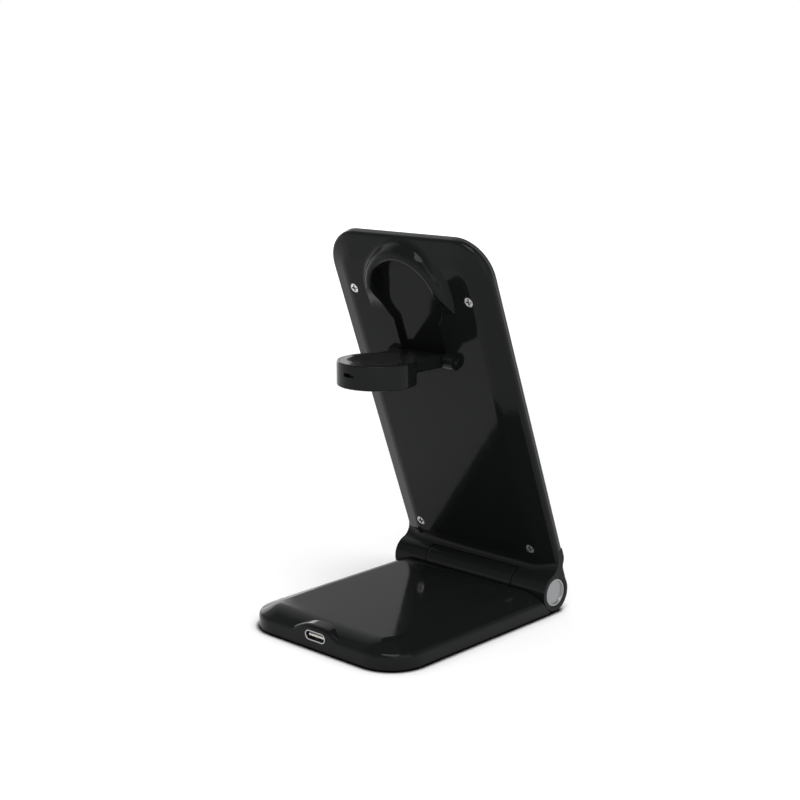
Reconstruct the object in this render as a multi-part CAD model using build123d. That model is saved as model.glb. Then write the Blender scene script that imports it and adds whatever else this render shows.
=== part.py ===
from build123d import *
from math import sqrt
import os

# Folding charger stand with three charging places: a base pad, an upright panel and a fold-out puck.
# Millimetres, +Z up, +Y from the hinge end to the port end. Every piece is drawn with the stand folded
# flat, the panel face up on the base and the puck in its pocket, and is then swung to its open place.

# Whole stand
WIDTH = 67.9
BASE_REACH = 79.7
PANEL_REACH = 127.2
OPEN_ANGLE = 69.15
PUCK_ANGLE = 69.15
CORNER = 12.9

# Main hinge
HINGE_HEIGHT = 7.05
KNUCKLE_RADIUS = 6.45
KNUCKLE_LENGTH = 14.4
KNUCKLE_GAP = 0.3
KNUCKLE_END_GAP = 0.5
SHAFT_RADIUS = 2.5
SLEEVE_WALL = 0.6
SLEEVE_LENGTH = 13.0
RUNNING_GAP = 0.05
SEAT_GAP = 0.03
CAP_RADIUS = 4.8
CAP_THICKNESS = 1.0
CAP_SET_BACK = 0.15
CAP_GAP = 0.15
CAP_EDGE_ROUND = 0.25
CAP_RIM = 0.9
CAP_DISH_DEPTH = 0.45
CAP_DISH_ROUND = 0.35

# Base
FOOT_HEIGHT = 0.5
FOOT_RECESS = 0.3
FOOT_LENGTH = 14.0
FOOT_WIDTH = 5.0
FOOT_INSET = 6.5
BASE_EDGE_HEIGHT = 5.0
BASE_HEIGHT = 8.5
BASE_SIDE_SHOULDER = 7.4
BASE_END_SHOULDER = 4.5
BASE_EDGE_ROUND = 1.8
BASE_FACE_ROUND = 8.0
BARREL_GROOVE = 1.6
NOTCH_START = 3.0
BASE_WALL = 1.8
BASE_ROOF = 1.6
BASE_CAVITY_START = 11.0
PLATE_THICKNESS = 1.4
PLATE_LEDGE = 1.2
PLATE_GAP = 0.1
BASE_COIL_REACH = 42.0
BASE_COIL_RADIUS = 17.0
BASE_COIL_HOLE = 6.0
BASE_COIL_THICKNESS = 1.2
BASE_FERRITE_RADIUS = 18.5
BASE_FERRITE_THICKNESS = 0.5
BASE_SCREW_SPREAD = 21.0
BASE_SCREW_NEAR = 20.5
BASE_SCREW_FAR = 64.0
BASE_POST_RADIUS = 2.4
BASE_SCREW_LENGTH = 4.6

# Inlet in the base's end
PORT_HEIGHT = 4.7
PORT_WIDTH = 8.94
PORT_DEPTH = 7.3
PORT_TALL = 3.26
PORT_SHELL_WALL = 0.35
PORT_GAP = 0.08
PORT_SET_BACK = 0.05
TONGUE_WIDTH = 6.7
TONGUE_THICKNESS = 0.7
TONGUE_SET_BACK = 0.8
HUMP_HALF_WIDTH = 18.0
HUMP_FOOT_HEIGHT = 4.1
HUMP_SIDE_REACH = 9.4
HUMP_SIDE_HEIGHT = 6.1
HUMP_TOP_REACH = 5.4
HUMP_TOP_HEIGHT = 7.75
HUMP_HEIGHT = 8.25
HUMP_DEPTH = 6.0
HUMP_EDGE_ROUND = 1.5
BOARD_THICKNESS = 0.8
BASE_BOARD_WIDTH = 30.0
BASE_BOARD_LENGTH = 26.0
BOARD_REST_WIDTH = 3.0

# Panel
FOLD_GAP = 0.7
PANEL_THICKNESS = 5.85
PANEL_CROWN = 2.35
PANEL_SHOULDER = 7.5
PANEL_EDGE_ROUND = 1.5
PANEL_FACE_ROUND = 10.0
PANEL_WALL = 1.8
PANEL_ROOF = 1.5
PANEL_CAVITY_START = 18.0
FRONT_START = 13.0
FRONT_EDGE_ROUND = 0.8
NECK_WAIST = 0.2
NECK_STEP_REACH = 8.4
NECK_STEP_DROP = 0.4
NECK_FOOT_REACH = 5.6
NECK_BLUNT = 3.2
FLARE_ROUND = 2.9
FLARE_SIDE_ROUND = 4.5
FLARE_SIDE_DROP = 0.45
PANEL_SCREW_SPREAD = 24.8
PANEL_SCREW_LOW = 14.2
PANEL_BOSS_RADIUS = 3.4
PANEL_POST_RADIUS = 2.6
PANEL_POST_HEIGHT = 1.2
POST_GAP = 0.15
PANEL_COIL_INSET = 42.2
FRONT_PAD_RADIUS = 28.5
FRONT_PAD_THICKNESS = 0.5
FRONT_PAD_PROUD = 0.2
MAGNET_COUNT = 16
MAGNET_OUTER = 27.4
MAGNET_INNER = 23.0
MAGNET_THICKNESS = 1.1
MAGNET_SPACE_ANGLE = 3.0
PANEL_COIL_RADIUS = 21.5
PANEL_COIL_HOLE = 9.0
PANEL_COIL_THICKNESS = 0.7
PANEL_FERRITE_RADIUS = 22.0
PANEL_FERRITE_THICKNESS = 0.35
PANEL_BOARD_WIDTH = 36.0
PANEL_BOARD_START_GAP = 9.0
PANEL_BOARD_END_GAP = 8.6

# Screws
SCREW_HEAD_RADIUS = 1.7
SCREW_HEAD_HEIGHT = 0.9
SCREW_RADIUS = 1.0
SCREW_GAP = 0.1
SCREW_SET_BACK = 0.35
PANEL_SCREW_LENGTH = 3.6
CROSS_LENGTH = 2.2
CROSS_WIDTH = 0.6
CROSS_DEPTH = 0.5

# Pocket and collar in the panel's back
POCKET_INSET = 19.8
POCKET_RADIUS = 13.6
POCKET_DEPTH = 1.85
POCKET_FLOOR = 1.0
COLLAR_HEIGHT = 3.15
COLLAR_LIP_DROP = 0.5
COLLAR_CREST_RADIUS = 14.6
COLLAR_WAIST_RADIUS = 17.0
COLLAR_WAIST_DROP = 1.75
COLLAR_FOOT = 18.6
COLLAR_BLEND = 3.0
COLLAR_FALL_START = 4.0
COLLAR_FALL_END = 6.5

# Puck and its hinge
PUCK_RADIUS = 12.75
PUCK_THICKNESS = 7.85
PUCK_POCKET_GAP = 0.3
PUCK_ARM = 22.3
PUCK_WALL = 1.4
PUCK_BOTTOM_ROUND = 0.5
PUCK_RIM_ROUND = 0.4
ARM_HALF_WIDTH = 9.5
ARM_RADIUS = 2.2
ARM_EDGE_ROUND = 0.8
ARM_SIDE_GAP = 0.3
ARM_END_GAP = 0.4
LUG_RADIUS = 2.6
LUG_WIDTH = 4.2
PIN_RADIUS = 0.9
PIN_SHORT = 0.4
WASHER_RADIUS = 1.9
COVER_THICKNESS = 1.2
COVER_LEDGE = 0.9
COVER_GAP = 0.05
COVER_DISH_RADIUS = 75.0
COVER_DISH_DEPTH = 0.6
PUCK_COIL_RADIUS = 10.2
PUCK_COIL_HOLE = 5.2
PUCK_COIL_THICKNESS = 1.2
PUCK_FERRITE_THICKNESS = 0.5
PUCK_MAGNET_RADIUS = 4.5
PUCK_BOARD_RADIUS = 10.2
SLOT_WIDTH = 4.5
SLOT_TALL = 1.3
SLOT_DEPTH = 1.5
SLOT_HEIGHT = 4.5

# Distance under which two places count as the same
SAME = 0.001

# Places that follow from the sizes above
HINGE_Y = -(BASE_REACH - KNUCKLE_RADIUS) / 2
HALF = WIDTH / 2
BASE_END = HINGE_Y + BASE_REACH
BARREL_HALF = HALF - KNUCKLE_LENGTH - KNUCKLE_END_GAP
SLEEVE_RADIUS = SHAFT_RADIUS + RUNNING_GAP + SLEEVE_WALL
PLATE_TOP = FOOT_HEIGHT + PLATE_THICKNESS
BASE_CEILING = BASE_HEIGHT - BASE_ROOF
BOARD_TOP = PORT_HEIGHT - PORT_TALL / 2
PANEL_BACK = BASE_HEIGHT + FOLD_GAP
PANEL_EDGE = PANEL_BACK + PANEL_CROWN
PANEL_FRONT = PANEL_BACK + PANEL_THICKNESS
PANEL_SPLIT = HINGE_HEIGHT + KNUCKLE_RADIUS - NECK_WAIST
FRONT_THICKNESS = PANEL_FRONT - PANEL_SPLIT
PANEL_END = HINGE_Y + PANEL_REACH
PANEL_COIL_REACH = PANEL_REACH - PANEL_COIL_INSET
POCKET_REACH = PANEL_REACH - POCKET_INSET
POCKET_Y = HINGE_Y + POCKET_REACH
POCKET_TOP = PANEL_BACK + POCKET_DEPTH
COLLAR_CREST = PANEL_BACK - COLLAR_HEIGHT
PUCK_TOP = POCKET_TOP - PUCK_POCKET_GAP
PUCK_BOTTOM = PUCK_TOP - PUCK_THICKNESS
PUCK_AXIS_Y = POCKET_Y - PUCK_ARM
PUCK_AXIS_Z = PUCK_TOP - ARM_RADIUS
COVER_SEAT = PUCK_TOP - COVER_THICKNESS
LUG_END = ARM_HALF_WIDTH + ARM_SIDE_GAP + LUG_WIDTH


def hinge_end_plate(half, start, end, corner, level):
    """Flat outline with a straight hinge end and two rounded corners at the free end."""
    face = make_face(Polyline((-half, start), (half, start), (half, end), (-half, end), close=True))
    face = fillet(face.vertices().group_by(Axis.Y)[-1], corner)
    return Pos(0, 0, level) * face


def shouldered_slab(half, start, end, corner, levels, insets):
    """Slab with an upright edge wall and sloped shoulders that lead to a smaller face."""
    low, edge, face = levels
    side, free_end = insets
    wall = extrude(hinge_end_plate(half, start, end, corner, low), amount=edge - low)
    foot = hinge_end_plate(half, start, end, corner, edge)
    crown = hinge_end_plate(half - side, start, end - free_end, corner - (side + free_end) / 2, face)
    return wall + loft([foot.face(), crown.face()], ruled=True)


def level_edges(body, level, start):
    """Edges that lie flat at one height, apart from the straight one at the hinge end."""
    def lies_flat(edge):
        box = edge.bounding_box()
        return abs(box.min.Z - level) < SAME and abs(box.max.Z - level) < SAME and box.max.Y > start + SAME
    return [edge for edge in body.edges() if lies_flat(edge)]


def soft_slab(half, start, end, corner, levels, insets, rounds):
    """Shouldered slab with its two ridges rounded, as a moulding has them."""
    body = shouldered_slab(half, start, end, corner, levels, insets)
    body = fillet(level_edges(body, levels[2], start), rounds[1])
    return fillet(level_edges(body, levels[1], start), rounds[0])


def rod(radius, x_from, x_to, y, z):
    """Round bar along X."""
    return Pos((x_from + x_to) / 2, y, z) * Rot(0, 90, 0) * Cylinder(radius, x_to - x_from)


def post(radius, place, z_low, z_high):
    """Upright round bar at a place (x, y)."""
    x, y = place
    return Pos(x, y, (z_low + z_high) / 2) * Cylinder(radius, z_high - z_low)


def disc(radius, y, z_low, z_high):
    """Upright round disc on the middle plane of the stand."""
    return post(radius, (0, y), z_low, z_high)


def block(x_from, x_to, y_from, y_to, z_from, z_to):
    """Box given by its six faces."""
    size = Box(x_to - x_from, y_to - y_from, z_to - z_from)
    return Pos((x_from + x_to) / 2, (y_from + y_to) / 2, (z_from + z_to) / 2) * size


def slot_bar(width, tall, y_from, y_to, z):
    """Bar along Y with a round-ended section, for the inlet and for slots."""
    face = Plane.XZ * SlotOverall(width, tall)
    return Pos(0, y_to, z) * extrude(face, amount=y_to - y_from)


def both_sides(piece):
    """A piece and its mirror image across the middle plane."""
    return [piece, mirror(piece, about=Plane.YZ)]


def cross_screw(place, level, length):
    """Flat-headed screw with a cross slot, head downwards, with the head's outer face at a level."""
    neck_level = level + SCREW_HEAD_HEIGHT
    screw = post(SCREW_HEAD_RADIUS, place, level, neck_level)
    screw += post(SCREW_RADIUS, place, neck_level, neck_level + length)
    arm = Box(CROSS_LENGTH, CROSS_WIDTH, 2 * CROSS_DEPTH)
    return screw - Pos(*place, level) * (arm + Rot(0, 0, 90) * arm)


def four_corners(spread, near, far):
    """The four screw places of a cover, as (x, y)."""
    return [(side * spread, HINGE_Y + reach) for reach in (near, far) for side in (-1, 1)]


BASE_SCREW_PLACES = four_corners(BASE_SCREW_SPREAD, BASE_SCREW_NEAR, BASE_SCREW_FAR)
PANEL_SCREW_PLACES = four_corners(PANEL_SCREW_SPREAD, PANEL_SCREW_LOW, POCKET_REACH)


# Base shell with its hinge barrel and the swelling round the inlet
def port_hump():
    """Bell-shaped swelling that gives the inlet its height in the base's end."""
    right_half = [(HUMP_TOP_REACH, HUMP_TOP_HEIGHT), (HUMP_SIDE_REACH, HUMP_SIDE_HEIGHT),
                  (HUMP_HALF_WIDTH, HUMP_FOOT_HEIGHT)]
    left_half = [(-x, z) for x, z in reversed(right_half)]
    bell = Spline(*left_half, (0, HUMP_HEIGHT), *right_half, tangents=[(1, 0), (1, 0)])
    low = [(HUMP_HALF_WIDTH, FOOT_HEIGHT), (-HUMP_HALF_WIDTH, FOOT_HEIGHT)]
    profile = Plane.XZ * make_face([bell, Polyline(bell @ 1, *low, bell @ 0)])
    hump = Pos(0, BASE_END, 0) * extrude(profile, amount=HUMP_DEPTH)
    front_top = hump.faces().sort_by(Axis.Y)[-1].edges().sort_by(Axis.Z)[-1]
    return fillet(front_top, HUMP_EDGE_ROUND)


def base_shell():
    levels = (FOOT_HEIGHT, BASE_EDGE_HEIGHT, BASE_HEIGHT)
    insets = (BASE_SIDE_SHOULDER, BASE_END_SHOULDER)
    body = soft_slab(HALF, HINGE_Y, BASE_END, CORNER, levels, insets, (BASE_EDGE_ROUND, BASE_FACE_ROUND))
    for notch in both_sides(knuckle_notch()):
        body -= notch
    body -= fold_groove(-BARREL_HALF, BARREL_HALF, BASE_HEIGHT - BARREL_GROOVE)
    body += rod(KNUCKLE_RADIUS, -BARREL_HALF, BARREL_HALF, HINGE_Y, HINGE_HEIGHT)
    body += port_hump()
    body -= base_cavity()
    for place in BASE_SCREW_PLACES:
        body += post(BASE_POST_RADIUS, place, PLATE_TOP, BASE_CEILING)
        body -= post(SCREW_RADIUS + SCREW_GAP, place, PLATE_TOP, PLATE_TOP + BASE_SCREW_LENGTH)
    body -= slot_bar(PORT_WIDTH + 2 * PORT_GAP, PORT_TALL + 2 * PORT_GAP, BASE_END - PORT_DEPTH - BASE_WALL,
                     BASE_END + BASE_WALL, PORT_HEIGHT)
    body -= rod(SLEEVE_RADIUS + SEAT_GAP, -BARREL_HALF, BARREL_HALF, HINGE_Y, HINGE_HEIGHT)
    return body


def knuckle_notch():
    """Room in the base's side for one knuckle of the panel."""
    hollow = rod(KNUCKLE_RADIUS + KNUCKLE_GAP, BARREL_HALF, WIDTH, HINGE_Y, HINGE_HEIGHT)
    hollow += block(BARREL_HALF, WIDTH, HINGE_Y - KNUCKLE_RADIUS, HINGE_Y + NOTCH_START, 0, PANEL_FRONT)
    return hollow + fold_groove(BARREL_HALF, WIDTH, PANEL_BACK - FLARE_ROUND)


def fold_groove(x_from, x_to, floor):
    """Groove with a rounded edge in the base's top, which takes in the panel's flare when folded."""
    centre_level = PANEL_BACK - FLARE_ROUND
    end = HINGE_Y + flare_reach(centre_level, FLARE_ROUND)
    groove = block(x_from, x_to, HINGE_Y, end, floor, PANEL_FRONT)
    return groove - rod(FLARE_ROUND - FOLD_GAP, x_from, x_to, end, centre_level)


def flare_reach(centre_level, radius):
    """How far from the main hinge a round lies that touches a knuckle from outside."""
    return sqrt((KNUCKLE_RADIUS + radius) ** 2 - (centre_level - HINGE_HEIGHT) ** 2)


def base_cavity():
    """Hollow for the works, open below, with a rebate for the bottom plate."""
    levels = (FOOT_HEIGHT, BASE_EDGE_HEIGHT - BASE_ROOF, BASE_CEILING)
    insets = (BASE_SIDE_SHOULDER, BASE_END_SHOULDER)
    wall = BASE_WALL + PLATE_LEDGE
    start = HINGE_Y + BASE_CAVITY_START
    room = shouldered_slab(HALF - wall, start, BASE_END - wall, CORNER - wall, levels, insets)
    return room + extrude(plate_outline(0), amount=PLATE_THICKNESS)


def plate_outline(gap):
    """Outline of the bottom plate at the base's underside, less a gap all round."""
    start = HINGE_Y + BASE_CAVITY_START - PLATE_LEDGE + gap
    wall = BASE_WALL + gap
    return hinge_end_plate(HALF - wall, start, BASE_END - wall, CORNER - wall, FOOT_HEIGHT)


# Bottom plate with its screws and feet
def foot(x, y, z_low, z_high, gap):
    outline = SlotOverall(FOOT_LENGTH + 2 * gap, FOOT_WIDTH + 2 * gap)
    return Pos(x, y, z_low) * extrude(outline, amount=z_high - z_low)


def foot_places():
    spread = HALF - FOOT_INSET - FOOT_LENGTH / 2
    near = HINGE_Y + BASE_CAVITY_START + FOOT_WIDTH / 2
    far = BASE_END - FOOT_INSET
    return [(side * spread, y) for y in (near, far) for side in (-1, 1)]


def base_bottom_plate():
    plate = extrude(plate_outline(PLATE_GAP), amount=PLATE_THICKNESS)
    board_start = BASE_END - PORT_DEPTH - BASE_WALL - BASE_BOARD_LENGTH / 2
    for x_from in (-BASE_BOARD_WIDTH / 2, BASE_BOARD_WIDTH / 2 - BOARD_REST_WIDTH):
        plate += block(x_from, x_from + BOARD_REST_WIDTH, board_start, board_start + BASE_BOARD_LENGTH / 2,
                       PLATE_TOP, BOARD_TOP - BOARD_THICKNESS)
    for place in BASE_SCREW_PLACES:
        plate -= post(SCREW_RADIUS + SCREW_GAP, place, FOOT_HEIGHT, PLATE_TOP)
        plate -= post(SCREW_HEAD_RADIUS + SCREW_GAP, place, FOOT_HEIGHT, FOOT_HEIGHT + SCREW_HEAD_HEIGHT)
    for x, y in foot_places():
        plate -= foot(x, y, FOOT_HEIGHT, FOOT_HEIGHT + FOOT_RECESS, PLATE_GAP)
    return plate


def base_feet():
    return [foot(x, y, 0, FOOT_HEIGHT + FOOT_RECESS, 0) for x, y in foot_places()]


def base_screws():
    return [cross_screw(place, FOOT_HEIGHT, BASE_SCREW_LENGTH) for place in BASE_SCREW_PLACES]


# Inlet and the works of the base
def usb_port_shell():
    mouth = BASE_END - PORT_SET_BACK
    shell = slot_bar(PORT_WIDTH, PORT_TALL, mouth - PORT_DEPTH, mouth, PORT_HEIGHT)
    bore = slot_bar(PORT_WIDTH - 2 * PORT_SHELL_WALL, PORT_TALL - 2 * PORT_SHELL_WALL,
                    mouth - PORT_DEPTH + PORT_SHELL_WALL, mouth + PORT_SHELL_WALL, PORT_HEIGHT)
    return shell - bore


def usb_port_tongue():
    back = BASE_END - PORT_SET_BACK - PORT_DEPTH + PORT_SHELL_WALL
    front = BASE_END - PORT_SET_BACK - TONGUE_SET_BACK
    half = TONGUE_WIDTH / 2
    half_tall = TONGUE_THICKNESS / 2
    return block(-half, half, back, front, PORT_HEIGHT - half_tall, PORT_HEIGHT + half_tall)


def base_circuit_board():
    end = BASE_END - BASE_WALL - PLATE_LEDGE - PLATE_GAP
    half = BASE_BOARD_WIDTH / 2
    return block(-half, half, end - BASE_BOARD_LENGTH, end, BOARD_TOP - BOARD_THICKNESS, BOARD_TOP)


def base_charging_coil():
    y = HINGE_Y + BASE_COIL_REACH
    low = BASE_CEILING - BASE_COIL_THICKNESS
    return disc(BASE_COIL_RADIUS, y, low, BASE_CEILING) - disc(BASE_COIL_HOLE, y, low, BASE_CEILING)


def base_ferrite_sheet():
    top = BASE_CEILING - BASE_COIL_THICKNESS
    return disc(BASE_FERRITE_RADIUS, HINGE_Y + BASE_COIL_REACH, top - BASE_FERRITE_THICKNESS, top)


def hinge_friction_sleeves():
    sleeve = rod(SLEEVE_RADIUS, BARREL_HALF - SLEEVE_LENGTH, BARREL_HALF, HINGE_Y, HINGE_HEIGHT)
    sleeve -= rod(SHAFT_RADIUS + RUNNING_GAP, BARREL_HALF - SLEEVE_LENGTH, BARREL_HALF, HINGE_Y, HINGE_HEIGHT)
    return both_sides(sleeve)


# Panel back cover with its knuckles, pocket, collar and lugs
def neck():
    """Hollowed step that leads the panel's front down to the knuckles."""
    foot_point = (HINGE_Y + NECK_FOOT_REACH, PANEL_SPLIT)
    step_point = (HINGE_Y + NECK_STEP_REACH, PANEL_FRONT - NECK_STEP_DROP)
    front_point = (HINGE_Y + FRONT_START, PANEL_FRONT)
    step = Spline(foot_point, step_point, front_point, tangents=[(1, 0), (1, 0)])
    inside = Polyline(front_point, (HINGE_Y + FRONT_START, PANEL_SPLIT), foot_point)
    return extrude(Plane.YZ * make_face([step, inside]), amount=HALF, both=True)


def panel_plate():
    levels = (PANEL_SPLIT, PANEL_EDGE, PANEL_BACK)
    insets = (PANEL_SHOULDER, PANEL_SHOULDER)
    rounds = (PANEL_EDGE_ROUND, PANEL_FACE_ROUND)
    return soft_slab(HALF, HINGE_Y, PANEL_END, CORNER, levels, insets, rounds)


def panel_cavity():
    """Hollow for the works, open towards the front cover."""
    levels = (PANEL_SPLIT, PANEL_EDGE + PANEL_ROOF, PANEL_BACK + PANEL_ROOF)
    insets = (PANEL_SHOULDER, PANEL_SHOULDER)
    wall = PANEL_WALL
    start = HINGE_Y + PANEL_CAVITY_START
    return shouldered_slab(HALF - wall, start, PANEL_END - wall, CORNER - wall, levels, insets)


def collar():
    """Raised ring round the pocket, with a rounded lip and a slope that runs out on the panel's back."""
    inner_edge = (POCKET_RADIUS, COLLAR_CREST + COLLAR_LIP_DROP)
    crest = (COLLAR_CREST_RADIUS, COLLAR_CREST)
    waist = (COLLAR_WAIST_RADIUS, COLLAR_CREST + COLLAR_WAIST_DROP)
    foot_point = (COLLAR_FOOT, PANEL_SPLIT)
    lip = TangentArc(crest, inner_edge, tangent=(-1, 0))
    slope = Spline(crest, waist, foot_point, tangents=[(1, 0), (0, 1)])
    sides = Polyline(foot_point, (POCKET_RADIUS, PANEL_SPLIT), inner_edge)
    profile = Plane.XZ * make_face([lip, slope, sides])
    return Pos(0, POCKET_Y, 0) * revolve(profile, Axis.Z)


def collar_fall():
    """What is cut from the collar, so that it falls away to the panel's back on its hinge side."""
    high = (POCKET_Y + COLLAR_FALL_START, COLLAR_CREST)
    low = (POCKET_Y - COLLAR_FALL_END, PANEL_BACK)
    fall = Spline(high, low, tangents=[(-1, 0), (-1, 0)])
    outer = COLLAR_CREST - COLLAR_HEIGHT
    end = POCKET_Y - 2 * COLLAR_FOOT
    around = Polyline(low, (end, PANEL_BACK), (end, outer), (high[0], outer), high)
    return extrude(Plane.YZ * make_face([fall, around]), amount=COLLAR_FOOT + COLLAR_BLEND, both=True)


def collar_foot_edges(body):
    """Edges where the collar's slope meets the panel's back."""
    def on_slope(point):
        radius = sqrt(point.X ** 2 + (point.Y - POCKET_Y) ** 2)
        return COLLAR_WAIST_RADIUS < radius < COLLAR_FOOT and PANEL_BACK - SAME < point.Z < PANEL_SPLIT - SAME
    return [edge for edge in body.edges() if all(on_slope(edge @ share) for share in (0.1, 0.5, 0.9))]


def pocket_room(gap):
    """Keyhole of the pocket: a round for the puck and a channel for its arm, grown by a wall."""
    low = COLLAR_CREST - COLLAR_HEIGHT
    room = disc(POCKET_RADIUS + gap, POCKET_Y, low, POCKET_TOP + gap)
    half = ARM_HALF_WIDTH + ARM_SIDE_GAP + gap
    start = PUCK_AXIS_Y - ARM_RADIUS - ARM_END_GAP - gap
    return room + block(-half, half, start, POCKET_Y, low, POCKET_TOP + gap)


def panel_back_cover():
    body = panel_plate() + collar()
    body = fillet(collar_foot_edges(body), COLLAR_BLEND)
    body -= collar_fall()
    body += neck()
    for knuckle in both_sides(rod(KNUCKLE_RADIUS, HALF - KNUCKLE_LENGTH, HALF, HINGE_Y, HINGE_HEIGHT)):
        body += knuckle
    for flare in both_sides(knuckle_flare()):
        body += flare
    body -= barrel_room()
    body -= panel_cavity()
    for place in PANEL_SCREW_PLACES:
        body += post(PANEL_BOSS_RADIUS, place, PANEL_BACK + PANEL_ROOF / 2, post_foot())
    body += pocket_room(POCKET_FLOOR) & block(-HALF, HALF, HINGE_Y, PANEL_END, PANEL_BACK, PANEL_FRONT)
    for lug in both_sides(rod(LUG_RADIUS, ARM_HALF_WIDTH + ARM_SIDE_GAP, LUG_END, PUCK_AXIS_Y, PUCK_AXIS_Z)):
        body += lug
    body -= pocket_room(0)
    for place in PANEL_SCREW_PLACES:
        body -= screw_room(place)
    body -= rod(SHAFT_RADIUS + SEAT_GAP, -HALF, HALF, HINGE_Y, HINGE_HEIGHT)
    cap_seat = HALF - CAP_SET_BACK - CAP_THICKNESS
    for seat in both_sides(rod(CAP_RADIUS + CAP_GAP, cap_seat, HALF, HINGE_Y, HINGE_HEIGHT)):
        body -= seat
    body -= rod(PIN_RADIUS + SEAT_GAP, -LUG_END, LUG_END, PUCK_AXIS_Y, PUCK_AXIS_Z)
    return body


def flare_section(x, level, radius):
    """Section of the hollow round from the panel's back, at a level, to the knuckle."""
    centre_level = level - radius
    reach = flare_reach(centre_level, radius)
    share = KNUCKLE_RADIUS / (KNUCKLE_RADIUS + radius)
    on_knuckle = (HINGE_Y + reach * share, HINGE_HEIGHT + (centre_level - HINGE_HEIGHT) * share)
    on_face = (HINGE_Y + reach, level)
    hollow = RadiusArc(on_knuckle, on_face, radius)
    inside = Polyline(on_face, (HINGE_Y + reach, PANEL_SPLIT), (HINGE_Y, PANEL_SPLIT), on_knuckle)
    return Plane.YZ.offset(x) * make_face([hollow, inside])


def knuckle_flare():
    """Half of the hollow round that leads the panel into the knuckles and grows at the side."""
    drop = PANEL_CROWN + FLARE_SIDE_DROP
    growth = FLARE_SIDE_ROUND - FLARE_ROUND
    lead = PANEL_FACE_ROUND * PANEL_CROWN / (2 * PANEL_SHOULDER)
    along = lead / PANEL_SHOULDER
    side = HALF - PANEL_SHOULDER
    middle = flare_section(0, PANEL_BACK, FLARE_ROUND)
    shoulder = flare_section(side - lead, PANEL_BACK, FLARE_ROUND)
    slope = flare_section(side + lead, PANEL_BACK + along * drop, FLARE_ROUND + along * growth)
    edge = flare_section(HALF, PANEL_BACK + drop, FLARE_SIDE_ROUND)
    return loft([middle, shoulder, slope, edge], ruled=True)


def barrel_room():
    """Room between the knuckles for the base's barrel, with a blunt lower edge on the plate."""
    half = BARREL_HALF + KNUCKLE_END_GAP
    room = rod(KNUCKLE_RADIUS + KNUCKLE_GAP, -half, half, HINGE_Y, HINGE_HEIGHT)
    return room + block(-half, half, HINGE_Y - KNUCKLE_RADIUS, HINGE_Y + NECK_BLUNT, 0, PANEL_FRONT)


def post_foot():
    return PANEL_SPLIT - PANEL_POST_HEIGHT


def screw_room(place):
    """Counterbore, clearance hole and post hole for one screw of the panel."""
    head_seat = PANEL_BACK + SCREW_SET_BACK + SCREW_HEAD_HEIGHT
    room = post(SCREW_HEAD_RADIUS + SCREW_GAP, place, PANEL_BACK, head_seat)
    room += post(SCREW_RADIUS + SCREW_GAP, place, head_seat, PANEL_SPLIT)
    return room + post(PANEL_POST_RADIUS + POST_GAP, place, post_foot(), PANEL_SPLIT)


# Front cover of the panel, its pad and the screws that hold it
def panel_front_cover():
    start = HINGE_Y + FRONT_START
    body = extrude(hinge_end_plate(HALF, start, PANEL_END, CORNER, PANEL_SPLIT), amount=FRONT_THICKNESS)
    body = fillet(level_edges(body, PANEL_FRONT, start), FRONT_EDGE_ROUND)
    tip = PANEL_BACK + SCREW_SET_BACK + SCREW_HEAD_HEIGHT + PANEL_SCREW_LENGTH
    for place in PANEL_SCREW_PLACES:
        body += post(PANEL_POST_RADIUS, place, post_foot(), PANEL_SPLIT)
        body -= post(SCREW_RADIUS + SCREW_GAP, place, post_foot(), tip)
    body -= disc(FRONT_PAD_RADIUS + PLATE_GAP, HINGE_Y + PANEL_COIL_REACH, front_pad_seat(), PANEL_FRONT)
    return body


def front_pad_seat():
    return PANEL_FRONT + FRONT_PAD_PROUD - FRONT_PAD_THICKNESS


def panel_front_pad():
    return disc(FRONT_PAD_RADIUS, HINGE_Y + PANEL_COIL_REACH, front_pad_seat(), PANEL_FRONT + FRONT_PAD_PROUD)


def panel_screws():
    level = PANEL_BACK + SCREW_SET_BACK
    return [cross_screw(place, level, PANEL_SCREW_LENGTH) for place in PANEL_SCREW_PLACES]


# Works of the panel, all fixed to the inside of the front cover
def panel_magnets():
    y = HINGE_Y + PANEL_COIL_REACH
    low = PANEL_SPLIT - MAGNET_THICKNESS
    ring = disc(MAGNET_OUTER, y, low, PANEL_SPLIT) - disc(MAGNET_INNER, y, low, PANEL_SPLIT)
    pitch = 360 / MAGNET_COUNT
    wedge = Pos(0, y, low) * extrude(sector(pitch - MAGNET_SPACE_ANGLE), amount=MAGNET_THICKNESS)
    magnet = ring & wedge
    return [Pos(0, y, 0) * Rot(0, 0, pitch * k) * Pos(0, -y, 0) * magnet for k in range(MAGNET_COUNT)]


def sector(angle):
    """Pie slice about +X that reaches past the magnet ring."""
    reach = 2 * MAGNET_OUTER
    side = PolarLine((0, 0), reach, -angle / 2)
    other = PolarLine((0, 0), reach, angle / 2)
    return make_face([side, Line(side @ 1, other @ 1), other])


def panel_charging_coil():
    y = HINGE_Y + PANEL_COIL_REACH
    low = PANEL_SPLIT - PANEL_COIL_THICKNESS
    return disc(PANEL_COIL_RADIUS, y, low, PANEL_SPLIT) - disc(PANEL_COIL_HOLE, y, low, PANEL_SPLIT)


def panel_ferrite_sheet():
    top = PANEL_SPLIT - PANEL_COIL_THICKNESS
    return disc(PANEL_FERRITE_RADIUS, HINGE_Y + PANEL_COIL_REACH, top - PANEL_FERRITE_THICKNESS, top)


def panel_circuit_board():
    """Board between the hollow's lower end and the magnet ring."""
    start = HINGE_Y + PANEL_CAVITY_START + PANEL_BOARD_START_GAP
    end = HINGE_Y + PANEL_COIL_REACH - MAGNET_OUTER - PANEL_BOARD_END_GAP
    half = PANEL_BOARD_WIDTH / 2
    return block(-half, half, start, end, PANEL_SPLIT - BOARD_THICKNESS, PANEL_SPLIT)


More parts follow.
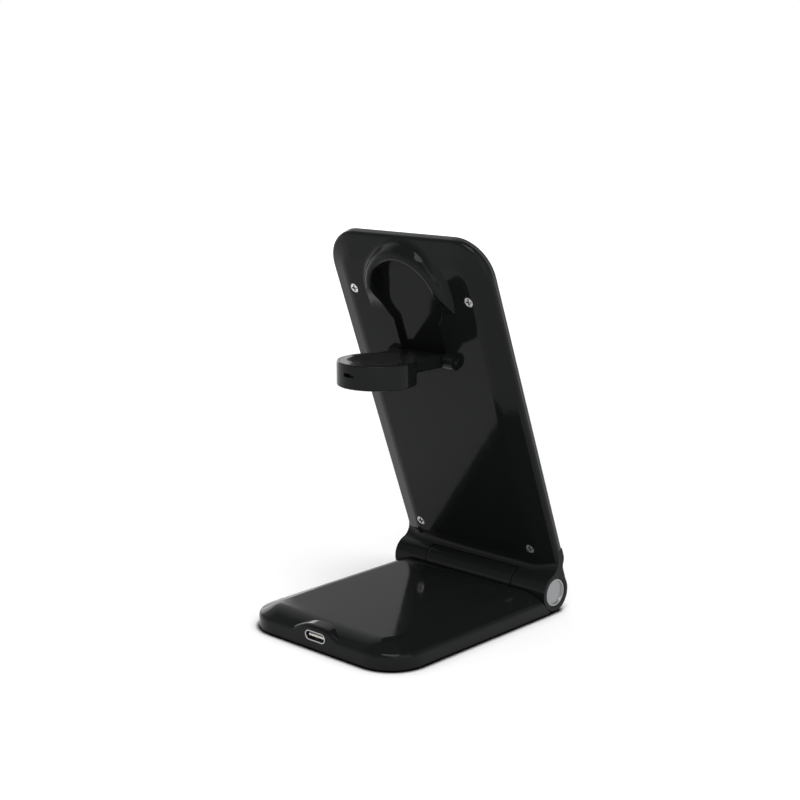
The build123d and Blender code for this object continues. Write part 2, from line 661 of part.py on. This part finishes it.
# Main hinge shaft and its caps
def hinge_shaft():
    half = HALF - CAP_SET_BACK - CAP_THICKNESS
    return rod(SHAFT_RADIUS, -half, half, HINGE_Y, HINGE_HEIGHT)


def hinge_cap():
    outer = HALF - CAP_SET_BACK
    cap = rod(CAP_RADIUS, outer - CAP_THICKNESS, outer, HINGE_Y, HINGE_HEIGHT)
    cap = fillet(cap.faces().sort_by(Axis.X)[-1].edges(), CAP_EDGE_ROUND)
    dish = rod(CAP_RADIUS - CAP_RIM, outer - CAP_DISH_DEPTH, outer + CAP_DISH_DEPTH, HINGE_Y, HINGE_HEIGHT)
    return cap - fillet(dish.faces().sort_by(Axis.X)[0].edges(), CAP_DISH_ROUND)


# Puck, its works and its hinge
def puck_housing():
    body = disc(PUCK_RADIUS, POCKET_Y, PUCK_BOTTOM, PUCK_TOP)
    body = fillet(body.edges().sort_by(Axis.Z)[0], PUCK_BOTTOM_ROUND)
    body = fillet(body.edges().sort_by(Axis.Z)[-1], PUCK_RIM_ROUND)
    body += puck_arm()
    body -= disc(cover_radius() + COVER_GAP, POCKET_Y, COVER_SEAT, PUCK_TOP)
    body -= disc(cover_radius() - COVER_LEDGE, POCKET_Y, PUCK_BOTTOM + PUCK_WALL, PUCK_TOP)
    body -= rod(PIN_RADIUS + RUNNING_GAP, -ARM_HALF_WIDTH, ARM_HALF_WIDTH, PUCK_AXIS_Y, PUCK_AXIS_Z)
    rim = POCKET_Y + PUCK_RADIUS
    slot_level = PUCK_BOTTOM + SLOT_HEIGHT
    return body - slot_bar(SLOT_WIDTH, SLOT_TALL, rim - SLOT_DEPTH, rim + SLOT_DEPTH, slot_level)


def puck_arm():
    """Flat arm with a round hinge end, softened along both sides."""
    flat = block(-ARM_HALF_WIDTH, ARM_HALF_WIDTH, PUCK_AXIS_Y, POCKET_Y, PUCK_AXIS_Z - ARM_RADIUS, PUCK_TOP)
    arm = flat + rod(ARM_RADIUS, -ARM_HALF_WIDTH, ARM_HALF_WIDTH, PUCK_AXIS_Y, PUCK_AXIS_Z)
    side_edges = arm.faces().filter_by(Axis.X).edges()
    return fillet([edge for edge in side_edges if (edge @ 0.5).Y < POCKET_Y - ARM_RADIUS], ARM_EDGE_ROUND)


def cover_radius():
    return PUCK_RADIUS - PUCK_WALL + COVER_LEDGE / 2


def puck_cover():
    cover = disc(cover_radius(), POCKET_Y, COVER_SEAT, PUCK_TOP)
    dish_centre = PUCK_TOP - COVER_DISH_DEPTH + COVER_DISH_RADIUS
    return cover - Pos(0, POCKET_Y, dish_centre) * Sphere(COVER_DISH_RADIUS)


def puck_charging_coil():
    low = COVER_SEAT - PUCK_COIL_THICKNESS
    return disc(PUCK_COIL_RADIUS, POCKET_Y, low, COVER_SEAT) - disc(PUCK_COIL_HOLE, POCKET_Y, low, COVER_SEAT)


def puck_ferrite_sheet():
    top = COVER_SEAT - PUCK_COIL_THICKNESS
    return disc(PUCK_COIL_RADIUS, POCKET_Y, top - PUCK_FERRITE_THICKNESS, top)


def puck_magnet():
    return disc(PUCK_MAGNET_RADIUS, POCKET_Y, COVER_SEAT - PUCK_COIL_THICKNESS, COVER_SEAT)


def puck_circuit_board():
    low = PUCK_BOTTOM + PUCK_WALL
    return disc(PUCK_BOARD_RADIUS, POCKET_Y, low, low + BOARD_THICKNESS)


def puck_hinge_pin():
    half = LUG_END - PIN_SHORT
    return rod(PIN_RADIUS, -half, half, PUCK_AXIS_Y, PUCK_AXIS_Z)


def puck_hinge_washers():
    outer = ARM_HALF_WIDTH + ARM_SIDE_GAP
    inner = ARM_HALF_WIDTH + RUNNING_GAP
    washer = rod(WASHER_RADIUS, inner, outer, PUCK_AXIS_Y, PUCK_AXIS_Z)
    washer -= rod(PIN_RADIUS + SEAT_GAP, inner, outer, PUCK_AXIS_Y, PUCK_AXIS_Z)
    return both_sides(washer)


# The folded pieces are swung to their open places: the panel up, and the puck out of its pocket
def swing(y, z, angle):
    """Turn about an axis along X."""
    return Pos(0, y, z) * Rot(angle, 0, 0) * Pos(0, -y, -z)


BASE_PLACE = Location()
PANEL_PLACE = swing(HINGE_Y, HINGE_HEIGHT, OPEN_ANGLE)
PUCK_PLACE = PANEL_PLACE * swing(PUCK_AXIS_Y, PUCK_AXIS_Z, -PUCK_ANGLE)

cap_right, cap_left = both_sides(hinge_cap())

PIECES = {
    "base_shell": (BASE_PLACE, base_shell()),
    "base_bottom_plate": (BASE_PLACE, base_bottom_plate()),
    "base_feet": (BASE_PLACE, base_feet()),
    "base_screws": (BASE_PLACE, base_screws()),
    "usb_port_shell": (BASE_PLACE, usb_port_shell()),
    "usb_port_tongue": (BASE_PLACE, usb_port_tongue()),
    "base_circuit_board": (BASE_PLACE, base_circuit_board()),
    "base_charging_coil": (BASE_PLACE, base_charging_coil()),
    "base_ferrite_sheet": (BASE_PLACE, base_ferrite_sheet()),
    "hinge_friction_sleeves": (BASE_PLACE, hinge_friction_sleeves()),
    "panel_back_cover": (PANEL_PLACE, panel_back_cover()),
    "panel_front_cover": (PANEL_PLACE, panel_front_cover()),
    "panel_front_pad": (PANEL_PLACE, panel_front_pad()),
    "panel_screws": (PANEL_PLACE, panel_screws()),
    "panel_magnets": (PANEL_PLACE, panel_magnets()),
    "panel_charging_coil": (PANEL_PLACE, panel_charging_coil()),
    "panel_ferrite_sheet": (PANEL_PLACE, panel_ferrite_sheet()),
    "panel_circuit_board": (PANEL_PLACE, panel_circuit_board()),
    "hinge_shaft": (PANEL_PLACE, hinge_shaft()),
    "hinge_cap_left": (PANEL_PLACE, cap_left),
    "hinge_cap_right": (PANEL_PLACE, cap_right),
    "puck_hinge_pin": (PANEL_PLACE, puck_hinge_pin()),
    "puck_hinge_washers": (PANEL_PLACE, puck_hinge_washers()),
    "puck_housing": (PUCK_PLACE, puck_housing()),
    "puck_cover": (PUCK_PLACE, puck_cover()),
    "puck_charging_coil": (PUCK_PLACE, puck_charging_coil()),
    "puck_ferrite_sheet": (PUCK_PLACE, puck_ferrite_sheet()),
    "puck_magnet": (PUCK_PLACE, puck_magnet()),
    "puck_circuit_board": (PUCK_PLACE, puck_circuit_board()),
}

os.makedirs("parts", exist_ok=True)
for name, (place, piece) in PIECES.items():
    solids = piece if isinstance(piece, list) else [piece]
    export_step(Compound(children=[place * solid.solid() for solid in solids]), f"parts/{name}.step")
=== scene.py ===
import math
import bpy
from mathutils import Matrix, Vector


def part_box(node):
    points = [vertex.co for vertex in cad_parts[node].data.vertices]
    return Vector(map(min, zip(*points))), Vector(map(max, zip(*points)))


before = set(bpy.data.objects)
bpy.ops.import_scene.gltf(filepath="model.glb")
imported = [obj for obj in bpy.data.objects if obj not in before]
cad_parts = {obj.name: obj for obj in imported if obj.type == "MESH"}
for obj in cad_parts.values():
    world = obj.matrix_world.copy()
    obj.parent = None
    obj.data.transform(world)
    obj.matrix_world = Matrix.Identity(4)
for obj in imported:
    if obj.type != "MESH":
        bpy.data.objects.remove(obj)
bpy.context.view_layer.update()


# Base shell: the low slab that stands on the table, with the hinge barrel along one end and the inlet in
# the other. One injection moulding in black plastic from a polished mould, so it shines like a piano lid.
# A plate closes it from below.
def start_finish(name, colour, roughness, metallic=0.0, ior=1.5):
    """A finish with plain values, to which patterns are wired afterwards."""
    finish = bpy.data.materials.new(name)
    finish.use_nodes = True
    shader = finish.node_tree.nodes["Principled BSDF"]
    shader.inputs["Base Color"].default_value = (*colour, 1)
    shader.inputs["Roughness"].default_value = roughness
    shader.inputs["Metallic"].default_value = metallic
    shader.inputs["IOR"].default_value = ior
    return finish, finish.node_tree, shader


def put(tree, kind, **values):
    """A shader node with some of its inputs set."""
    made = tree.nodes.new("ShaderNode" + kind)
    for socket, value in values.items():
        made.inputs[socket.replace("_", " ")].default_value = value
    return made


def piece_place(tree, scale=(1, 1, 1), centre=(0, 0, 0), tilt=0.0):
    """Place on the piece in metres, which moves with the piece, seen from a centre and a tilt about X."""
    place = put(tree, "TexCoord")
    mapping = put(tree, "Mapping", Location=centre, Rotation=(tilt, 0, 0), Scale=[1 / s for s in scale])
    mapping.vector_type = "TEXTURE"
    tree.links.new(place.outputs["Object"], mapping.inputs["Vector"])
    return mapping.outputs["Vector"]


def grain(tree, size, place, detail=2.0):
    """Cloudy pattern with spots of about one size in metres."""
    noise = put(tree, "TexNoise", Scale=1 / size, Detail=detail)
    tree.links.new(place, noise.inputs["Vector"])
    return noise.outputs["Fac"]


def spread(tree, pattern, pattern_range, value_range):
    """Stretch a pattern's values to a new range, and hold them there."""
    stretch = put(tree, "MapRange", From_Min=pattern_range[0], From_Max=pattern_range[1],
                  To_Min=value_range[0], To_Max=value_range[1])
    tree.links.new(pattern, stretch.inputs["Value"])
    return stretch.outputs["Result"]


def colour_by(tree, shader, pattern, first, second):
    """Colour a finish from a first to a second colour with a pattern."""
    mix = put(tree, "Mix")
    mix.data_type = "RGBA"
    mix.inputs[6].default_value = (*first, 1)
    mix.inputs[7].default_value = (*second, 1)
    tree.links.new(pattern, mix.inputs["Factor"])
    tree.links.new(mix.outputs[2], shader.inputs["Base Color"])


def raise_surface(tree, shader, pattern, height, edge_round=0.0):
    """Relief of a height in metres, on edges that are worn round by a radius."""
    bump = put(tree, "Bump", Strength=1.0, Distance=height)
    tree.links.new(pattern, bump.inputs["Height"])
    if edge_round:
        bevel = put(tree, "Bevel", Radius=edge_round)
        bevel.samples = 6
        tree.links.new(bevel.outputs["Normal"], bump.inputs["Normal"])
    tree.links.new(bump.outputs["Normal"], shader.inputs["Normal"])


def dress(node_names, finish):
    """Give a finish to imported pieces, in place of the plain one they came with."""
    for node_name in node_names:
        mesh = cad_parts[node_name].data
        mesh.materials.clear()
        mesh.materials.append(finish)


def polished_black(name, edge_round):
    """Black plastic with wiped smears, hair scratches, a little dust and a slight moulding ripple."""
    black = (0.008, 0.0086, 0.0087)
    dusty = (0.016, 0.016, 0.0155)
    dust_size = 0.00022
    smear_size = 0.014
    hair_size = 0.0006
    hair_stretch = (0.15, 6.0, 6.0)
    hair_tilt = 0.5
    ripple_size = 0.0045
    ripple_height = 0.000012
    finish, tree, shader = start_finish(name, black, 0.09, ior=1.2)
    place = piece_place(tree)
    dust = spread(tree, grain(tree, dust_size, place), (0.70, 0.76), (0.0, 1.0))
    colour_by(tree, shader, dust, black, dusty)
    smears = spread(tree, grain(tree, smear_size, place, 4.0), (0.35, 0.68), (0.07, 0.12))
    hair_lines = grain(tree, hair_size, piece_place(tree, hair_stretch, tilt=hair_tilt), 1.0)
    hairs = spread(tree, hair_lines, (0.62, 0.72), (0.0, 0.03))
    worn = put(tree, "Math")
    tree.links.new(smears, worn.inputs[0])
    tree.links.new(hairs, worn.inputs[1])
    tree.links.new(worn.outputs["Value"], shader.inputs["Roughness"])
    raise_surface(tree, shader, grain(tree, ripple_size, place, 1.0), ripple_height, edge_round)
    return finish


base_edge_round = 0.0003
dress(["base_shell"], polished_black("base_black", base_edge_round))


# Circuit boards of the base, the panel and the puck: glass-fibre laminate with a green solder mask over
# copper tracks, cut to size and glued or clipped inside the housings.
def roughen_by(tree, shader, pattern, roughness_range, pattern_range=(0.3, 0.7)):
    """Roughness of a finish that follows a pattern."""
    tree.links.new(spread(tree, pattern, pattern_range, roughness_range), shader.inputs["Roughness"])


track_scale = 260.0
track_width = 0.035
track_height = 0.00003
mask_size = 0.002
board_finish, tree, shader = start_finish("circuit_board", (0.01, 0.09, 0.04), 0.4)
tracks = put(tree, "TexBrick", Scale=track_scale, Mortar_Size=track_width, Color1=(0.008, 0.085, 0.036, 1),
             Color2=(0.012, 0.11, 0.048, 1), Mortar=(0.045, 0.20, 0.085, 1))
tree.links.new(piece_place(tree), tracks.inputs["Vector"])
tree.links.new(tracks.outputs["Color"], shader.inputs["Base Color"])
roughen_by(tree, shader, grain(tree, mask_size, piece_place(tree)), (0.3, 0.5))
raise_surface(tree, shader, tracks.outputs["Fac"], track_height)
dress(["base_circuit_board", "panel_circuit_board", "puck_circuit_board"], board_finish)


# Charging coils of the three places: flat spirals of enamelled copper wire, wound on a former and stuck
# to the ferrite sheets. The rings of the pattern are the turns of the wire.
def wave_scale(pitch):
    """Scale at which the wave pattern, which turns 20 radians per unit, repeats every pitch in metres."""
    return 2 * math.pi / 20 / pitch


def ring_lines(tree, pitch, place):
    """Rings about the Z axis of a place, one every pitch in metres."""
    rings = put(tree, "TexWave", Scale=wave_scale(pitch))
    rings.wave_type = "RINGS"
    rings.rings_direction = "Z"
    tree.links.new(place, rings.inputs["Vector"])
    return rings.outputs["Fac"]


def box_middle(node_name):
    """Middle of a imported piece, at rest."""
    low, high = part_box(node_name)
    return (Vector(low) + Vector(high)) / 2


wire_pitch = 0.0005
wire_relief = 0.00016
enamel_size = 0.003
panel_tilt = math.radians(69.15)
for node_name, tilt in (("base_charging_coil", 0.0), ("panel_charging_coil", panel_tilt),
                        ("puck_charging_coil", 0.0)):
    coil_finish, tree, shader = start_finish(node_name + "_copper", (0.72, 0.33, 0.15), 0.3, metallic=1.0)
    turns = ring_lines(tree, wire_pitch, piece_place(tree, centre=box_middle(node_name), tilt=tilt))
    colour_by(tree, shader, turns, (0.34, 0.12, 0.045), (0.78, 0.37, 0.17))
    roughen_by(tree, shader, grain(tree, enamel_size, piece_place(tree)), (0.22, 0.38))
    raise_surface(tree, shader, turns, wire_relief)
    dress([node_name], coil_finish)

# Ferrite sheets behind the coils: dark, brittle sintered sheet with a grey powdery surface, pressed, fired
# and stuck in place with thin adhesive film.
powder_size = 0.0003
powder_height = 0.00002
ferrite_finish, tree, shader = start_finish("ferrite", (0.03, 0.03, 0.032), 0.7)
powder = grain(tree, powder_size, piece_place(tree), 3.0)
colour_by(tree, shader, powder, (0.018, 0.018, 0.019), (0.055, 0.054, 0.055))
roughen_by(tree, shader, powder, (0.62, 0.82))
raise_surface(tree, shader, powder, powder_height)
dress(["base_ferrite_sheet", "panel_ferrite_sheet", "puck_ferrite_sheet"], ferrite_finish)


# Shell of the inlet: a seamless oval tube of stainless sheet, deep drawn and polished, pressed into the
# opening in the base's end with its rim level with the wall.
def drawn_metal(name, colour, roughness_range, line_stretch, edge_round=0.0):
    """Bare metal with fine lines along the way it was drawn or ground."""
    line_size = 0.0002
    line_height = 0.000004
    darker = [c * 0.82 for c in colour]
    finish, tree, shader = start_finish(name, colour, roughness_range[0], metallic=1.0)
    lines = grain(tree, line_size, piece_place(tree, line_stretch), 3.0)
    roughen_by(tree, shader, lines, roughness_range)
    colour_by(tree, shader, lines, darker, colour)
    raise_surface(tree, shader, lines, line_height, edge_round)
    return finish


port_edge_round = 0.00008
dress(["usb_port_shell"],
      drawn_metal("port_metal", (0.5, 0.5, 0.5), (0.2, 0.32), (1, 12, 1), port_edge_round))

# Tongue in the inlet: pale moulded plastic with a row of plated contacts on each face, moulded round
# the contacts and soldered to the base's board.
contact_pitch = 0.0005
contact_height = 0.00003
tongue_grain = 0.0004
tongue_plastic = (0.42, 0.42, 0.41)
plated_metal = (0.80, 0.76, 0.68)
tongue_finish, tree, shader = start_finish("port_tongue", tongue_plastic, 0.4)
contacts = put(tree, "TexWave", Scale=wave_scale(contact_pitch))
contacts.bands_direction = "X"
tree.links.new(piece_place(tree), contacts.inputs["Vector"])
plated = spread(tree, contacts.outputs["Fac"], (0.42, 0.52), (0.0, 1.0))
colour_by(tree, shader, plated, tongue_plastic, plated_metal)
tree.links.new(plated, shader.inputs["Metallic"])
roughen_by(tree, shader, grain(tree, tongue_grain, piece_place(tree)), (0.22, 0.42))
raise_surface(tree, shader, plated, contact_height)
dress(["usb_port_tongue"], tongue_finish)


# Bottom plate of the base: satin black plastic from a spark-eroded mould, with a fine even texture, held
# by four screws and recessed for the feet.
def textured_black(name, colour, grain_size, depth):
    """Black plastic or rubber with a fine moulded texture that scatters the light."""
    edge_round = 0.0003
    lighter = [c * 1.9 for c in colour]
    finish, tree, shader = start_finish(name, colour, 0.5)
    texture = grain(tree, grain_size, piece_place(tree), 3.0)
    colour_by(tree, shader, texture, colour, lighter)
    roughen_by(tree, shader, texture, (0.42, 0.62))
    raise_surface(tree, shader, texture, depth, edge_round)
    return finish


satin_black = textured_black("satin_black", (0.011, 0.0115, 0.012), grain_size=0.00035, depth=0.00003)
dress(["base_bottom_plate"], satin_black)

# Feet under the base: four soft rubber bars, die cut from sheet with a matt skin and stuck in recesses.
# They lift the base off the table, which leaves a thin shadow line under its edge, deepened by the floor's
# painted shadow.
dress(["base_feet"],
      textured_black("foot_rubber", (0.022, 0.022, 0.023), grain_size=0.00018, depth=0.00006))


# Screws of the bottom plate and of the panel: cross-headed steel screws, cold headed and nickel plated.
# The cross is painted dark: dirt in it, together with painted shade where the recess is closed in.
def openness(tree, reach):
    """How open a surface is to what surrounds it within a reach in metres, from 0 to 1."""
    around = put(tree, "AmbientOcclusion", Distance=reach)
    around.samples = 8
    return around.outputs["AO"]


cross_reach = 0.0008
plating_size = 0.0004
plating_height = 0.000006
screw_edge_round = 0.0001
screw_finish, tree, shader = start_finish("screw_steel", (0.74, 0.74, 0.73), 0.3, metallic=1.0)
plating = grain(tree, plating_size, piece_place(tree), 3.0)
# Painted shade: the closed-in cross is coloured near black, the open head its steel colour.
unshaded_and_clean = spread(tree, openness(tree, cross_reach), (0.45, 0.85), (0.0, 1.0))
colour_by(tree, shader, unshaded_and_clean, (0.05, 0.05, 0.05), (0.78, 0.78, 0.77))
roughen_by(tree, shader, plating, (0.44, 0.58))
raise_surface(tree, shader, plating, plating_height, screw_edge_round)
dress(["base_screws", "panel_screws"], screw_finish)

# Panel's back cover: the tall leaf that carries the knuckles, the horseshoe collar and the puck's lugs.
# The same polished black moulding as the base shell, hung on the hinge shaft.
panel_edge_round = 0.00015
panel_black = polished_black("panel_black", panel_edge_round)
dress(["panel_back_cover"], panel_black)

# Panel's front cover: a flat satin black plate with a round seat for the pad, moulded like the bottom
# plate. Posts behind it take the four screws that come through from the back.
dress(["panel_front_cover"], satin_black)

# Pad on the panel's front: a thin disc of soft silicone with a matt, slightly rubbery skin, moulded flat
# and stuck in the round seat. It stands a hair proud of the plate and grips.
skin_size = 0.00025
skin_height = 0.00003
rub_size = 0.012
pad_finish, tree, shader = start_finish("soft_pad", (0.03, 0.0305, 0.031), 0.62)
shader.inputs["Sheen Weight"].default_value = 0.15
skin = grain(tree, skin_size, piece_place(tree), 3.0)
colour_by(tree, shader, skin, (0.022, 0.0225, 0.023), (0.042, 0.042, 0.043))
roughen_by(tree, shader, grain(tree, rub_size, piece_place(tree), 4.0), (0.5, 0.68))
raise_surface(tree, shader, skin, skin_height)
dress(["panel_front_pad"], pad_finish)

# Magnets: sixteen segments in a ring round the panel's coil and a disc in the puck's middle, sintered,
# ground and nickel plated, glued in place.
bloom_size = 0.0015
bloom_height = 0.000008
magnet_edge_round = 0.0001
magnet_finish, tree, shader = start_finish("magnet_nickel", (0.62, 0.60, 0.56), 0.3, metallic=1.0)
bloom = grain(tree, bloom_size, piece_place(tree), 4.0)
colour_by(tree, shader, bloom, (0.46, 0.44, 0.41), (0.68, 0.66, 0.62))
roughen_by(tree, shader, bloom, (0.2, 0.4))
raise_surface(tree, shader, bloom, bloom_height, magnet_edge_round)
dress(["panel_magnets", "puck_magnet"], magnet_finish)

# Steel of both hinges: the ground shaft, the rolled friction sleeves that grip it, the puck's pin and its
# two washers. The shaft is fixed in the panel and the sleeves are pressed into the base's barrel.
dress(["hinge_shaft", "hinge_friction_sleeves", "puck_hinge_pin", "puck_hinge_washers"],
      drawn_metal("hinge_steel", (0.52, 0.52, 0.53), (0.2, 0.36), (0.2, 4, 4)))

# Caps on the ends of the hinge: dished discs of turned and finely blasted aluminium, pressed into the
# knuckles. The lathe has left faint rings in the dish.
lathe_pitch = 0.00025
lathe_height = 0.000003
blast_size = 0.0002
cap_edge_round = 0.0002
for node_name in ("hinge_cap_left", "hinge_cap_right"):
    cap_finish, tree, shader = start_finish(node_name + "_aluminium", (0.29, 0.29, 0.30), 0.3, metallic=1.0)
    along_hinge = put(tree, "Mapping", Rotation=(0, math.radians(90), 0))
    tree.links.new(piece_place(tree, centre=box_middle(node_name)), along_hinge.inputs["Vector"])
    rings = ring_lines(tree, lathe_pitch, along_hinge.outputs["Vector"])
    blasted = grain(tree, blast_size, piece_place(tree), 3.0)
    colour_by(tree, shader, blasted, (0.25, 0.255, 0.26), (0.32, 0.32, 0.33))
    roughen_by(tree, shader, rings, (0.25, 0.34), pattern_range=(0.0, 1.0))
    raise_surface(tree, shader, rings, lathe_height, cap_edge_round)
    dress([node_name], cap_finish)

# Puck's housing: the round holder on an arm that folds out of the panel, polished black like the rest,
# moulded in one piece and hung on its pin between the two lugs.
dress(["puck_housing"], panel_black)

# Puck's cover: the dished disc that closes the holder's top over its coil, moulded in polished black
# plastic, a little rubbed by use, and snapped in the housing's rim.
wear_size = 0.006
dent_size = 0.004
dent_depth = 0.000008
cover_finish, tree, shader = start_finish("puck_face", (0.012, 0.0122, 0.0125), 0.15)
wear = grain(tree, wear_size, piece_place(tree), 2.0)
colour_by(tree, shader, wear, (0.010, 0.0102, 0.0105), (0.017, 0.0172, 0.0172))
roughen_by(tree, shader, wear, (0.12, 0.19))
raise_surface(tree, shader, grain(tree, dent_size, piece_place(tree), 1.0), dent_depth)
dress(["puck_cover"], cover_finish)

# Camera at the photograph's place: a long lens a little above the stand, before the corner by the inlet.
# Its place and angles were worked out from the stand's own straight edges.
camera_drop = 11.836
camera_heading = -47.067
camera = bpy.data.objects.new("camera", bpy.data.cameras.new("camera"))
camera.data.lens = 68.26
camera.data.sensor_width = 36
camera.location = (-0.3265, 0.354725, 0.17507)
camera.rotation_euler = (math.radians(90 - camera_drop), 0, math.radians(camera_heading - 90))
bpy.context.scene.collection.objects.link(camera)
bpy.context.scene.camera = camera

# Floor: a wide sheet of matt white board that glows white to the camera and in reflections, more so far
# from the stand. Close round and under the stand a painted shadow darkens it and holds the glow back.
floor_reach = 6.0
floor_white = (0.8, 0.8, 0.8)
floor_mesh = bpy.data.meshes.new("floor")
floor_mesh.from_pydata([(-floor_reach, -floor_reach, 0), (floor_reach, -floor_reach, 0),
                        (floor_reach, floor_reach, 0), (-floor_reach, floor_reach, 0)], [], [(0, 1, 2, 3)])
floor = bpy.data.objects.new("floor", floor_mesh)
bpy.context.scene.collection.objects.link(floor)
floor_finish, tree, shader = start_finish("floor_board", floor_white, 0.8)
shader.inputs["Specular IOR Level"].default_value = 0.0


def seen_rays(tree):
    """1 for rays that see the background straight, in a reflection or through glass, and 0 for the rest."""
    path = put(tree, "LightPath")
    seen = path.outputs["Is Camera Ray"]
    for kind in ("Is Glossy Ray", "Is Transmission Ray"):
        either = put(tree, "Math")
        either.operation = "MAXIMUM"
        tree.links.new(seen, either.inputs[0])
        tree.links.new(path.outputs[kind], either.inputs[1])
        seen = either.outputs["Value"]
    return seen


def multiply(tree, first, second):
    """Two patterns, one times the other."""
    product = put(tree, "Math")
    product.operation = "MULTIPLY"
    tree.links.new(first, product.inputs[0])
    tree.links.new(second, product.inputs[1])
    return product.outputs["Value"]


# Painted shadow: within a few millimetres of the stand the floor's colour is painted near black.
edge_shade_reach = 0.0025
edge_shade = (0.01, 0.01, 0.01)
outside_painted_shadow = spread(tree, openness(tree, edge_shade_reach), (0.64, 0.88), (0.0, 1.0))
colour_by(tree, shader, outside_painted_shadow, edge_shade, floor_white)

# Painted shadow: the glow is held back close to the stand, and grows with distance from it.
soft_shade_reach = 0.006
glow_distances = (0.2, 1.2)
glow_strengths = (0.32, 0.9)
glow_outside_painted_shadow = spread(tree, openness(tree, soft_shade_reach), (0.5, 0.9), (0.0, 1.0))
away = put(tree, "VectorMath")
away.operation = "LENGTH"
tree.links.new(piece_place(tree), away.inputs[0])
paleness = spread(tree, away.outputs["Value"], glow_distances, glow_strengths)
glow = put(tree, "Emission")
tree.links.new(multiply(tree, multiply(tree, glow_outside_painted_shadow, paleness), seen_rays(tree)), glow.inputs["Strength"])
both = put(tree, "AddShader")
tree.links.new(shader.outputs["BSDF"], both.inputs[0])
tree.links.new(glow.outputs["Emission"], both.inputs[1])
tree.links.new(both.outputs["Shader"], tree.nodes["Material Output"].inputs["Surface"])
floor_mesh.materials.append(floor_finish)


# Studio round the stand: white up to a little above the table's level, grey higher up and dim overhead,
# with a pale patch high behind on the left, so that polished black shows clean bands. To the camera itself
# the background is white.
def lay_over(tree, share, under, colour):
    """A colour laid over what is under it, as far as a share goes."""
    mix = put(tree, "Mix")
    mix.data_type = "RGBA"
    mix.inputs[7].default_value = (*colour, 1)
    tree.links.new(share, mix.inputs["Factor"])
    tree.links.new(under, mix.inputs[6])
    return mix.outputs[2]


white_height = 0.12
overhead_height = 0.74
overhead_grey = (0.12, 0.12, 0.12)
wall_bands = ((0.30, 0.55), (0.56, 0.45))
patch_direction = Vector((0.69, -0.30, 0.66)).normalized()
patch_edges = (0.86, 0.98)
patch_white = (0.95, 0.95, 0.95)
world = bpy.data.worlds.new("studio")
bpy.context.scene.world = world
world.use_nodes = True
tree = world.node_tree
direction = put(tree, "TexCoord").outputs["Generated"]
direction_parts = put(tree, "SeparateXYZ")
tree.links.new(direction, direction_parts.inputs["Vector"])
walls = put(tree, "ValToRGB")
walls.color_ramp.interpolation = "EASE"
walls.color_ramp.elements[0].position = white_height
walls.color_ramp.elements[0].color = (1, 1, 1, 1)
walls.color_ramp.elements[1].position = overhead_height
walls.color_ramp.elements[1].color = (*overhead_grey, 1)
for band_height, tone in wall_bands:
    band = walls.color_ramp.elements.new(band_height)
    band.color = (tone, tone, tone, 1)
tree.links.new(direction_parts.outputs["Z"], walls.inputs["Fac"])
toward_patch = put(tree, "VectorMath")
toward_patch.operation = "DOT_PRODUCT"
toward_patch.inputs[1].default_value = patch_direction
tree.links.new(direction, toward_patch.inputs[0])
in_patch = spread(tree, toward_patch.outputs["Value"], patch_edges, (0.0, 1.0))
studio = lay_over(tree, in_patch, walls.outputs["Color"], patch_white)
straight_view = put(tree, "LightPath").outputs["Is Camera Ray"]
tree.links.new(lay_over(tree, straight_view, studio, (1, 1, 1)), tree.nodes["Background"].inputs["Color"])


# Lamps: three softboxes, one high over the front corner, a larger one high on the right, and a low wide
# one behind on the left that shows as a pale streak on the base's corner and on the swell over the inlet.
def softbox(name, place, size, power):
    """A rectangular lamp of a size in metres and a power in watts, turned to the stand."""
    aim = Vector((0, 0, 0.05))
    lamp = bpy.data.lights.new(name, "AREA")
    lamp.shape = "RECTANGLE"
    lamp.size, lamp.size_y = size
    lamp.energy = power
    tripod = bpy.data.objects.new(name, lamp)
    tripod.location = place
    tripod.rotation_euler = (aim - Vector(place)).to_track_quat("-Z", "Y").to_euler()
    bpy.context.scene.collection.objects.link(tripod)


softbox("softbox_front", (-0.30, 0.36, 1.2), (0.7, 0.7), 8.0)
softbox("softbox_right", (-1.1, 0.35, 0.9), (1.4, 1.4), 7.0)
softbox("softbox_left", (1.372, -0.62, 0.36), (0.885, 0.5), 2.5)

# Picture: colours are shown as they are written.
bpy.context.scene.view_settings.view_transform = "Standard"
